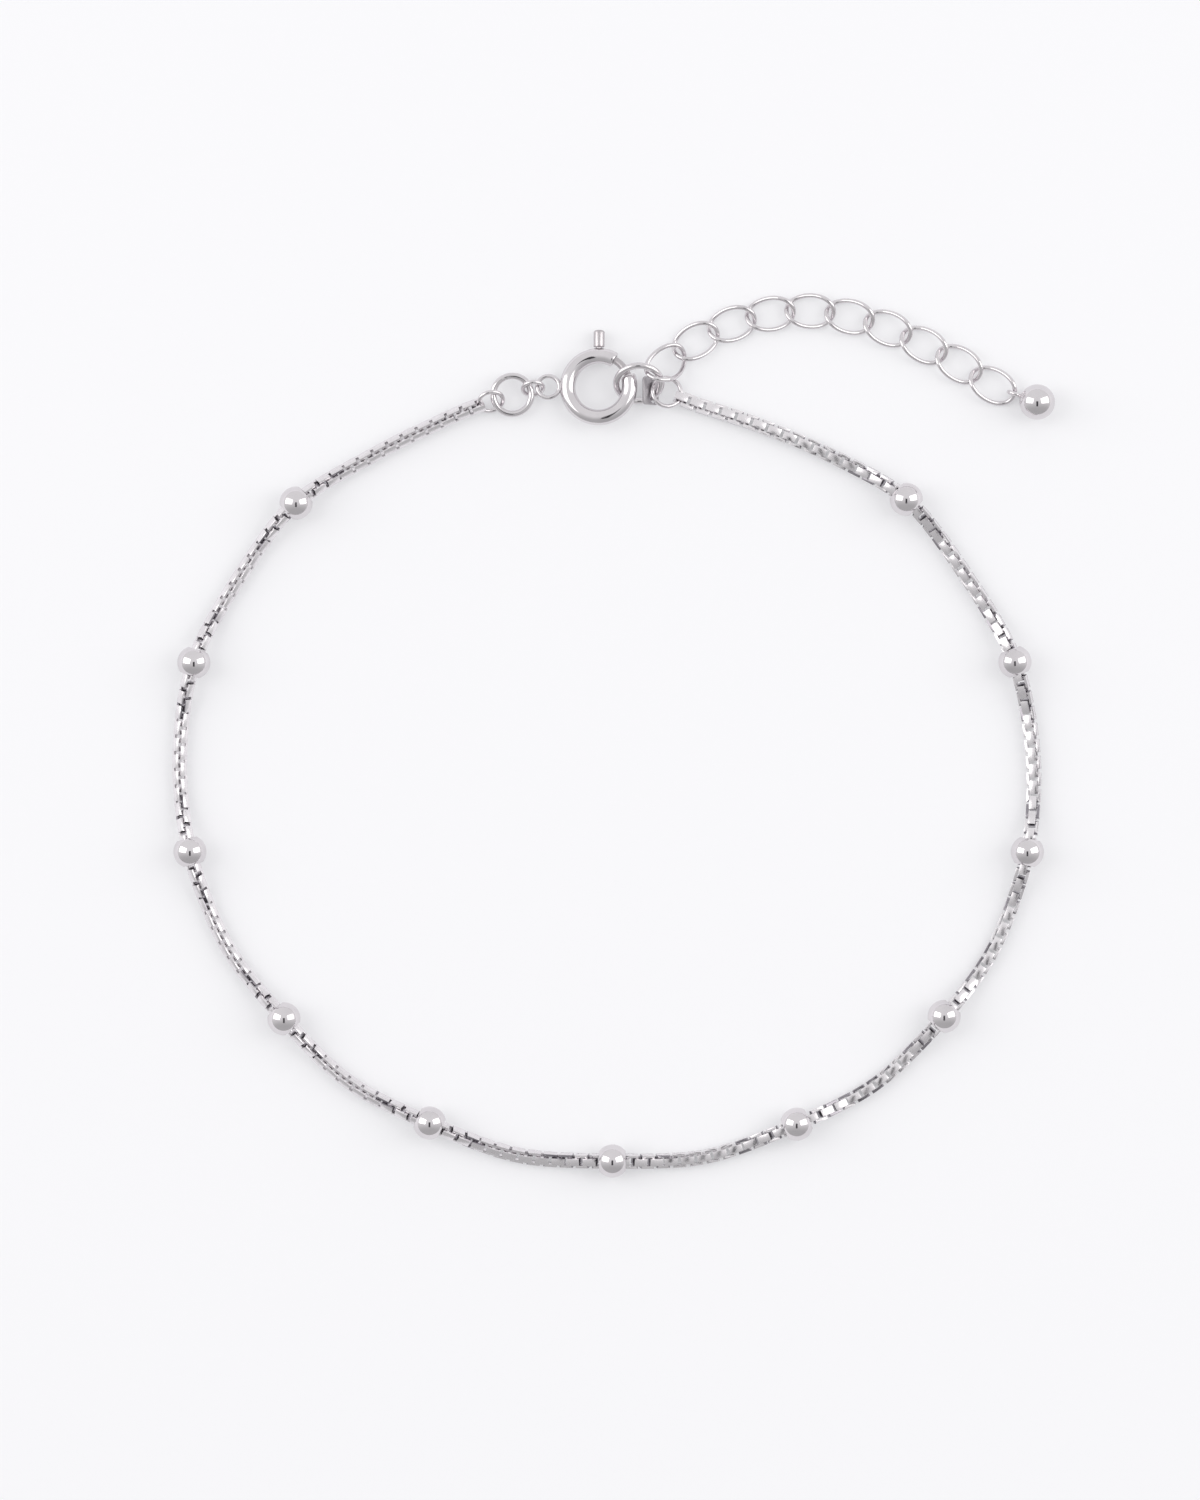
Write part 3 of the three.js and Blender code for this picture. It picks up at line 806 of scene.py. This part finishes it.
@dataclass
class Extension:
    """The row of curb links from the right jump ring to the end bead.

    Attributes:
        first: Where the first link hangs on its ring.
        count: How many links there are.
        link: The link's own shape.
    """

    first: Place = Place((5.24, 36.65, 1.56), (37.6, 27.8, 0.8))
    count: int = 10
    link: CurbLink = field(default_factory=CurbLink)

    def node(self, number: int) -> str:
        """Gives the name of a link.

        Args:
            number: Its number, from 1.

        Returns:
            The node's name.
        """
        return f"extension_link_{number:02d}"

    def build(self, layout: Layout, material: bpy.types.Material) -> list[bpy.types.Object]:
        """Builds the row.

        Args:
            layout: The layout that it lies in.
            material: Its finish.

        Returns:
            The new pieces.
        """
        pieces = []
        for number in range(1, self.count + 1):
            bm = self.link.mesh()
            matrix = self.first.matrix(layout.shift) if number == 1 else self.lying(number)
            bmesh.ops.transform(bm, matrix=matrix, verts=bm.verts)
            finish_mesh(bm)
            node = self.node(number)
            pieces.append(add_piece(f"{node}_wire", bm, material, node))
        return pieces

    def lying(self, number: int) -> Matrix:
        """Gives the place of a link on the table, turned along the line through its neighbours.

        Args:
            number: Its number, from 2.

        Returns:
            The matrix that places the link's mesh, in metres.
        """
        before = node_centre(self.node(number - 1))
        after = node_centre(self.node(number + 1) if number < self.count else "end_bead")
        heading = math.atan2(after.y - before.y, after.x - before.x)
        turned = Matrix.Rotation(heading, 4, "Z")
        return Matrix.Translation(node_centre(self.node(number))) @ turned @ Matrix.Scale(MM, 4)


@dataclass
class EndBead:
    """The closed ball at the extension's end with its soldered eye.

    Attributes:
        place: The ball's place; its eye points back along its own x axis.
        radius: The ball's radius, in millimetres.
        eye_reach: From the ball's middle to the eye's.
        eye_radius: Centreline radius of the eye.
        eye_wire: Wire radius of the eye.
        eye_steps: Sections of the eye.
        collar: Solder between the ball and its eye, as radius and reach from the ball's middle.
    """

    place: Place = Place((37.91, 33.27, 1.65), (-21.0, -22.0, 2.0))
    radius: float = 1.575
    eye_reach: float = 2.15
    eye_radius: float = 0.66
    eye_wire: float = 0.186
    eye_steps: int = 56
    collar: tuple[tuple[float, float], ...] = (
        (0.0, 1.2), (0.36, 1.46), (0.3, 1.56), (0.24, 1.66), (0.2, 1.75), (0.0, 1.8)
    )

    def build(self, layout: Layout, material: bpy.types.Material) -> bpy.types.Object:
        """Builds the ball, its solder collar and its eye.

        Args:
            layout: The layout that it lies in.
            material: Its finish.

        Returns:
            The new piece.
        """
        bm = bmesh.new()
        bmesh.ops.create_uvsphere(bm, u_segments=64, v_segments=40, radius=self.radius)
        spin_profile(bm, self.collar, 32, closed=False)
        bmesh.ops.transform(bm, matrix=Matrix.Rotation(-math.pi / 2, 4, "Y"), verts=bm.verts)
        eye = ring_sections(self.eye_radius, self.eye_steps, -self.eye_reach * ALONG_X, ALONG_Z)
        sweep_wire(bm, eye, [self.eye_wire] * self.eye_steps, 16, closed=True)
        bmesh.ops.transform(bm, matrix=self.place.matrix(layout.shift), verts=bm.verts)
        finish_mesh(bm)
        return add_piece("end_bead_ball", bm, material, "end_bead")


@dataclass
class SpringRingClasp:
    """The spring ring clasp: a hollow C of tube, its sliding bolt with a thumb lever, and a tail ring.

    Attributes:
        place: The clasp's middle and turn.
        radius: Centreline radius of the C, in millimetres.
        tube: Radius of the tube.
        bore: Radius of its bore.
        mouth: Angles of the C's two ends, in degrees from its right side.
        slot: Angles of the lever's slot.
        slot_width: Width of the slot.
        bolt: Angles of the bolt's two ends.
        bolt_wire: Wire radius of the bolt.
        lever_angle: Where the thumb lever stands.
        lever_reach: From the clasp's middle to the lever's end.
        lever_radius: Radius of the lever.
        tail_at: Middle of the tail ring along the clasp's x axis.
        tail_radius: Centreline radius of the tail ring.
        tail_wire: Wire radius of the tail ring.
        tail_steps: Sections of the tail ring.
        bore_depth: Depth of the bore at each mouth, in degrees.
        rim: How much the C's ends are broken.
        neck: Radius of the lever's neck in the slot.
        lever_round: Radius of the lever's rounded end.
        sides: Sides of the C's sections.
    """

    place: Place = Place((-0.78, 34.64, 1.36), (0.0, -5.0, -6.5))
    radius: float = 2.75
    tube: float = 0.69
    bore: float = 0.46
    mouth: tuple[float, float] = (20.0, 60.0)
    slot: tuple[float, float] = (81.0, 145.0)
    slot_width: float = 0.56
    bolt: tuple[float, float] = (15.0, 150.0)
    bolt_wire: float = 0.335
    lever_angle: float = 90.0
    lever_reach: float = 5.04
    lever_radius: float = 0.49
    tail_at: float = -4.46
    tail_radius: float = 0.97
    tail_wire: float = 0.197
    tail_steps: int = 56
    bore_depth: float = 9.0
    rim: float = 0.06
    neck: float = 0.21
    lever_round: float = 0.22
    sides: int = 36

    def arc(self, start: float, end: float, steps: int) -> list[Matrix]:
        """Gives sections along the C's centreline.

        Args:
            start: First angle, in degrees.
            end: Last angle.
            steps: Steps between them.

        Returns:
            One matrix for each section.
        """
        angles = (start + (end - start) * step / steps for step in range(steps + 1))
        return [arc_section(math.radians(angle), self.radius) for angle in angles]

    def hollow_c(self) -> bmesh.types.BMesh:
        """Builds the C with a stretch of bore at each mouth, in millimetres.

        Returns:
            The closed mesh.
        """
        bm = bmesh.new()
        start, end = self.mouth[1], self.mouth[0] + 360
        outer = self.arc(start, end, 120)
        first = self.arc(start, start + self.bore_depth, 6)
        last = self.arc(end - self.bore_depth, end, 6)
        stations = list(reversed(first)) + outer + list(reversed(last))
        radii = [self.bore] * len(first) + [self.tube] * len(outer) + [self.bore] * len(last)
        radii[len(first)] = self.tube - self.rim
        radii[len(first) + len(outer) - 1] = self.tube - self.rim
        caps = sweep_wire(bm, stations, radii, self.sides, closed=False)
        bmesh.ops.holes_fill(bm, edges=caps, sides=self.sides)
        finish_mesh(bm)
        return bm

    def slot_cutter(self) -> bmesh.types.BMesh:
        """Builds the block that cuts the lever's slot, in millimetres.

        Returns:
            The closed mesh.
        """
        bm = bmesh.new()
        inner, outer = self.radius + 0.05, self.radius + 2 * self.tube
        start, end = (math.radians(angle) for angle in self.slot)
        upright = Matrix.Rotation(start, 4, "Z") @ Matrix.Rotation(math.pi / 2, 4, "X")
        middle = Matrix.Translation(((inner + outer) / 2, 0.0, 0.0))
        size = Matrix.Diagonal(((outer - inner) / 2, self.slot_width / 2, 1.0, 1.0))
        bmesh.ops.create_grid(bm, x_segments=1, y_segments=1, size=1.0, matrix=upright @ middle @ size)
        bmesh.ops.spin(
            bm,
            geom=list(bm.faces),
            cent=(0.0, 0.0, 0.0),
            axis=(0.0, 0.0, 1.0),
            dvec=(0.0, 0.0, 0.0),
            angle=end - start,
            steps=20,
            use_merge=False,
            use_duplicate=True,
        )
        finish_mesh(bm)
        return bm

    def build(
        self, layout: Layout, material: bpy.types.Material, rubbed: bpy.types.Material
    ) -> list[bpy.types.Object]:
        """Builds the clasp's body and its bolt.

        Args:
            layout: The layout that it lies in.
            material: The body's finish.
            rubbed: The bolt's finish.

        Returns:
            The two new pieces.
        """
        matrix = self.place.matrix(layout.shift)
        body = cut_mesh(self.hollow_c(), self.slot_cutter())
        tail = ring_sections(self.tail_radius, self.tail_steps, self.tail_at * ALONG_X)
        sweep_wire(body, tail, [self.tail_wire] * self.tail_steps, 16, closed=True)
        bmesh.ops.transform(body, matrix=matrix, verts=body.verts)
        finish_mesh(body, 32.0)
        pieces = [add_piece("clasp_body_tube", body, material, "clasp_body")]
        bolt = self.bolt_mesh()
        bmesh.ops.transform(bolt, matrix=matrix, verts=bolt.verts)
        finish_mesh(bolt, 32.0)
        pieces.append(add_piece("clasp_bolt_wire", bolt, rubbed, "clasp_bolt", body=Body.BOLT))
        return pieces

    def bolt_mesh(self) -> bmesh.types.BMesh:
        """Builds the bolt's bent wire and its thumb lever, in millimetres.

        Returns:
            The bolt's mesh.
        """
        bm = bmesh.new()
        shoulder = self.radius + self.tube + 0.08
        profile = [(0.0, self.radius), (self.neck, self.radius), (self.neck, shoulder)]
        profile += [(self.lever_radius - 0.06, shoulder + 0.01), (self.lever_radius, shoulder + 0.07)]
        crown_steps = 5
        for step in range(crown_steps + 1):
            angle = math.pi / 2 * step / crown_steps
            radius = self.lever_radius + self.lever_round * (math.cos(angle) - 1)
            profile.append((radius, self.lever_reach + self.lever_round * (math.sin(angle) - 1)))
        profile.append((0.0, self.lever_reach))
        spin_profile(bm, profile, 36, closed=False)
        heading = Matrix.Rotation(math.radians(self.lever_angle - 90), 4, "Z")
        flat = Matrix.Rotation(-math.pi / 2, 4, "X")
        bmesh.ops.transform(bm, matrix=heading @ flat, verts=bm.verts)
        stations = self.arc(*self.bolt, 72)
        radii = [self.bolt_wire] * len(stations)
        radii[0] = radii[-1] = 0.75 * self.bolt_wire
        caps = sweep_wire(bm, stations, radii, 24, closed=False)
        bmesh.ops.holes_fill(bm, edges=caps, sides=24)
        return bm


def cut_mesh(solid: bmesh.types.BMesh, cutter: bmesh.types.BMesh) -> bmesh.types.BMesh:
    """Cuts one closed mesh out of another.

    Args:
        solid: What is cut; it is freed.
        cutter: What cuts; it is freed.

    Returns:
        The cut mesh.
    """
    objects = []
    for name, source in (("cut_solid", solid), ("cut_tool", cutter)):
        mesh = bpy.data.meshes.new(name)
        source.to_mesh(mesh)
        source.free()
        made = bpy.data.objects.new(name, mesh)
        bpy.context.scene.collection.objects.link(made)
        objects.append(made)
    whole, tool = objects
    modifier = whole.modifiers.new("slot", "BOOLEAN")
    modifier.operation = "DIFFERENCE"
    modifier.solver = "EXACT"
    modifier.object = tool
    graph = bpy.context.evaluated_depsgraph_get()
    result = bmesh.new()
    result.from_mesh(whole.evaluated_get(graph).to_mesh())
    for made in objects:
        mesh = made.data
        bpy.data.objects.remove(made)
        bpy.data.meshes.remove(mesh)
    return result


@dataclass
class Tag:
    """A bare plate hung by one hole on the right jump ring.

    Attributes:
        ring: Place of the ring that it hangs on.
        ring_radius: Centreline radius of that ring, in millimetres.
        turn: Heading, pitch and roll of the plate, in degrees.
        ring_angle: Where round that ring its hole sits, in degrees.
        width: Width of the plate.
        length: Length of the plate.
        thickness: Thickness of the plate.
        corner: Radius of its corners.
        hole: Radius of the hole.
        hole_at: Middle of the hole on the plate.
        edge_round: Radius of its softened edges.
    """

    ring: Place
    ring_radius: float
    turn: tuple[float, float, float] = (0.0, 52.0, 0.0)
    ring_angle: float = -47.0
    width: float = 2.1
    length: float = 2.5
    thickness: float = 0.22
    corner: float = 0.35
    hole: float = 0.57
    hole_at: tuple[float, float] = (0.36, -0.52)
    edge_round: float = 0.035

    def build(self, layout: Layout, material: bpy.types.Material) -> bpy.types.Object:
        """Builds the plate with its hole and softened edges.

        Args:
            layout: The layout that it lies in.
            material: Its finish.

        Returns:
            The new piece.
        """
        plate = bmesh.new()
        size = Matrix.Diagonal((self.width, self.length, self.thickness, 1.0))
        bmesh.ops.create_cube(plate, size=1.0, matrix=size)
        uprights = [e for e in plate.edges if abs(e.verts[0].co.z - e.verts[1].co.z) > self.thickness / 2]
        bmesh.ops.bevel(
            plate,
            geom=uprights,
            offset=self.corner,
            offset_type="OFFSET",
            affect="EDGES",
            segments=8,
            profile=0.5,
            material=-1,
        )
        punch = bmesh.new()
        centre = Matrix.Translation((*self.hole_at, 0.0))
        bmesh.ops.create_cone(
            punch,
            cap_ends=True,
            segments=48,
            radius1=self.hole,
            radius2=self.hole,
            depth=4 * self.thickness,
            matrix=centre,
        )
        bm = cut_mesh(plate, punch)
        rims = [e for e in bm.edges if len(e.link_faces) == 2 and e.calc_face_angle(0.0) > math.radians(60)]
        bmesh.ops.bevel(
            bm,
            geom=rims,
            offset=self.edge_round,
            offset_type="OFFSET",
            affect="EDGES",
            segments=3,
            profile=0.5,
            material=-1,
        )
        angle = math.radians(self.ring_angle)
        wire = Vector((math.cos(angle), math.sin(angle), 0.0)) * self.ring_radius
        wire_at = self.ring.matrix(layout.shift) @ wire
        turned = Euler([math.radians(a) for a in reversed(self.turn)], "XYZ").to_matrix().to_4x4()
        back = Matrix.Translation((-self.hole_at[0], -self.hole_at[1], 0.0))
        placed = Matrix.Translation(wire_at) @ turned @ Matrix.Scale(MM, 4) @ back
        bmesh.ops.transform(bm, matrix=placed, verts=bm.verts)
        finish_mesh(bm, 30.0)
        return add_piece("tag_plate", bm, material, "tag")


@dataclass
class Studio:
    """The light table's paper, two soft boxes at the upper left and right, and the camera overhead.

    Attributes:
        view_centre: What the camera looks at, from the loop's own middle, in millimetres.
        view_height: Height of table that the picture takes in, in millimetres.
        camera_height: Camera over the table, in metres.
        box_elevation: Height of the soft boxes over the table, in degrees.
        box_bearing: Their direction from the picture's sides towards its top, in degrees.
        box_distance: Their distance, in metres.
        box_size: Their width and height, in metres.
        box_power: Their power, in watts.
        sky: Strength of the even light from all round.
        dusk: Share of that light that is left low at the picture's foot, where the photographer stands.
        dusk_from: Height of the picture's foot, as a direction's y, where the light is all dusk.
        dusk_to: The same where it is whole again.
        arm_size: Width and length of the camera's dark arm, in metres.
        arm_ahead: How far the arm reaches past the lens.
        arm_above: How far it is over the lens.
    """

    view_centre: tuple[float, float] = (-0.66, 2.57)
    view_height: float = 132.7
    camera_height: float = 0.62
    box_elevation: float = 38.0
    box_bearing: float = 14.0
    box_distance: float = 0.62
    box_size: tuple[float, float] = (0.36, 0.6)
    box_power: float = 1.05
    sky: float = 0.93
    dusk: float = 0.58
    dusk_from: float = -0.8
    dusk_to: float = 0.25
    arm_size: tuple[float, float] = (0.16, 0.46)
    arm_ahead: float = 0.06
    arm_above: float = 0.1

    def build(self, layout: Layout) -> None:
        """Sets up paper, light and camera.

        Args:
            layout: The layout that the picture shows.
        """
        middle = (Vector((*self.view_centre, 0.0)) + layout.shift) * MM
        middle.z = 0.0
        self.flat_sheet("paper_sweep", (2.4, 2.4), Matrix.Identity(4), PaperSweep().material())
        for side in (-1, 1):
            self.soft_box(side, middle)
        self.camera_arm(middle)
        self.surroundings()
        self.camera(middle)
        settings = bpy.context.scene.view_settings
        settings.view_transform = "Standard"
        settings.look = "None"

    def camera_arm(self, middle: Vector) -> None:
        """Puts up the camera's dark arm, which the metal mirrors.

        Args:
            middle: The point of the table in the picture's middle.
        """
        dark = FeltCard("dark_arm", "#3f3e41").material()
        back = self.arm_size[1] / 2 - self.arm_ahead
        arm = Matrix.Translation(middle + Vector((0.0, -back, self.camera_height + self.arm_above)))
        self.flat_sheet("camera_arm", self.arm_size, arm, dark)

    def flat_sheet(
        self, name: str, size: tuple[float, float], place: Matrix, material: bpy.types.Material
    ) -> None:
        """Puts up one flat rectangle of the studio.

        Args:
            name: Its name.
            size: Its width and length, in metres.
            place: Where it goes, its face along the matrix's z axis.
            material: Its material.
        """
        bm = bmesh.new()
        stretched = place @ Matrix.Diagonal((size[0] / 2, size[1] / 2, 1.0, 1.0))
        bmesh.ops.create_grid(bm, x_segments=2, y_segments=2, size=1.0, matrix=stretched)
        mesh = bpy.data.meshes.new(name)
        bm.to_mesh(mesh)
        bm.free()
        mesh.materials.append(material)
        sheet = bpy.data.objects.new(name, mesh)
        bpy.context.scene.collection.objects.link(sheet)

    def soft_box(self, side: int, middle: Vector) -> None:
        """Hangs one soft box.

        Args:
            side: -1 for the left one and 1 for the right one.
            middle: What it points at.
        """
        elevation = math.radians(self.box_elevation)
        bearing = math.radians(self.box_bearing)
        flat = self.box_distance * math.cos(elevation)
        offset = Vector((side * flat * math.cos(bearing), flat * math.sin(bearing), 0.0))
        offset.z = self.box_distance * math.sin(elevation)
        lamp = bpy.data.lights.new(f"soft_box_{'left' if side < 0 else 'right'}", "AREA")
        lamp.shape = "RECTANGLE"
        lamp.size, lamp.size_y = self.box_size
        lamp.energy = self.box_power
        lamp.color = linear_colour("#fffdfb")[:3]
        box = bpy.data.objects.new(lamp.name, lamp)
        box.location = middle + offset
        box.rotation_euler = (-offset).to_track_quat("-Z", "Y").to_euler()
        bpy.context.scene.collection.objects.link(box)

    def surroundings(self) -> None:
        """Sets the light from all round, which falls off low at the picture's foot."""
        world = bpy.data.worlds.new("studio_room")
        world.use_nodes = True
        tree = world.node_tree
        backdrop = tree.nodes["Background"]
        backdrop.inputs["Color"].default_value = linear_colour("#f9f9fa")
        place = add_node(tree, "ShaderNodeTexCoord").outputs["Generated"]
        split = add_node(tree, "ShaderNodeSeparateXYZ", links={"Vector": place})
        level = add_node(
            tree,
            "ShaderNodeMapRange",
            settings={"interpolation_type": "SMOOTHSTEP"},
            inputs={
                "From Min": self.dusk_from,
                "From Max": self.dusk_to,
                "To Min": self.sky * self.dusk,
                "To Max": self.sky,
            },
            links={"Value": split.outputs["Y"]},
        )
        tree.links.new(level.outputs["Result"], backdrop.inputs["Strength"])
        bpy.context.scene.world = world

    def camera(self, middle: Vector) -> None:
        """Points the camera straight down.

        Args:
            middle: The point of the table in the picture's middle.
        """
        lens = bpy.data.cameras.new("overhead_camera")
        lens.sensor_fit = "VERTICAL"
        lens.sensor_height = 24.0
        lens.lens = lens.sensor_height * self.camera_height / (self.view_height * MM)
        lens.clip_start = 0.01
        camera = bpy.data.objects.new("overhead_camera", lens)
        camera.location = middle + Vector((0.0, 0.0, self.camera_height))
        bpy.context.scene.collection.objects.link(camera)
        bpy.context.scene.camera = camera


def wire_rings() -> tuple[WireRing, ...]:
    """Gives the five rings of round wire, from the chain's left end to its right end.

    Returns:
        The rings, in order.
    """
    return (
        WireRing("chain_end_ring_left", Place((-10.31, 33.36, 0.98), (15.0, 1.0, 45.0)), 1.1, 0.2, 75.0),
        WireRing("jump_ring_left", Layout.left_ring, 1.68, 0.3, 115.0),
        WireRing("clasp_link", Place((-6.58, 34.51, 0.93), (1.0, 6.0, 54.0)), 0.9, 0.2, 250.0),
        WireRing("jump_ring_right", Place((2.76, 34.93, 1.62), (-2.0, 3.0, 41.5)), 1.993, 0.3, 130.0),
        WireRing("chain_end_ring_right", Place((5.23, 34.19, 0.89), (0.0, 14.0, -12.0)), 1.3, 0.2, 60.0),
    )


def main() -> None:
    """Builds the anklet's pieces in order and sets up the picture."""
    logging.basicConfig(level=logging.INFO, format="%(name)s: %(message)s")
    layout = Layout()
    bright = BRIGHT_SILVER.material()
    Studio().build(layout)
    tumbled = TUMBLED_SILVER.material()
    for node in ("box_chain_left", "box_chain_right"):
        BoxChain(node).build(tumbled)
    for number in range(1, 12):
        RoundBead(f"bead_{number:02d}").build(bright)
    rings = wire_rings()
    for ring in rings:
        ring.build(layout, bright)
    SpringRingClasp().build(layout, bright, RUBBED_SILVER.material())
    right = next(ring for ring in rings if ring.node == "jump_ring_right")
    Tag(right.place, right.radius).build(layout, ROLLED_SILVER.material())
    Extension().build(layout, bright)
    EndBead().build(layout, bright)


if __name__ == "__main__":
    main()
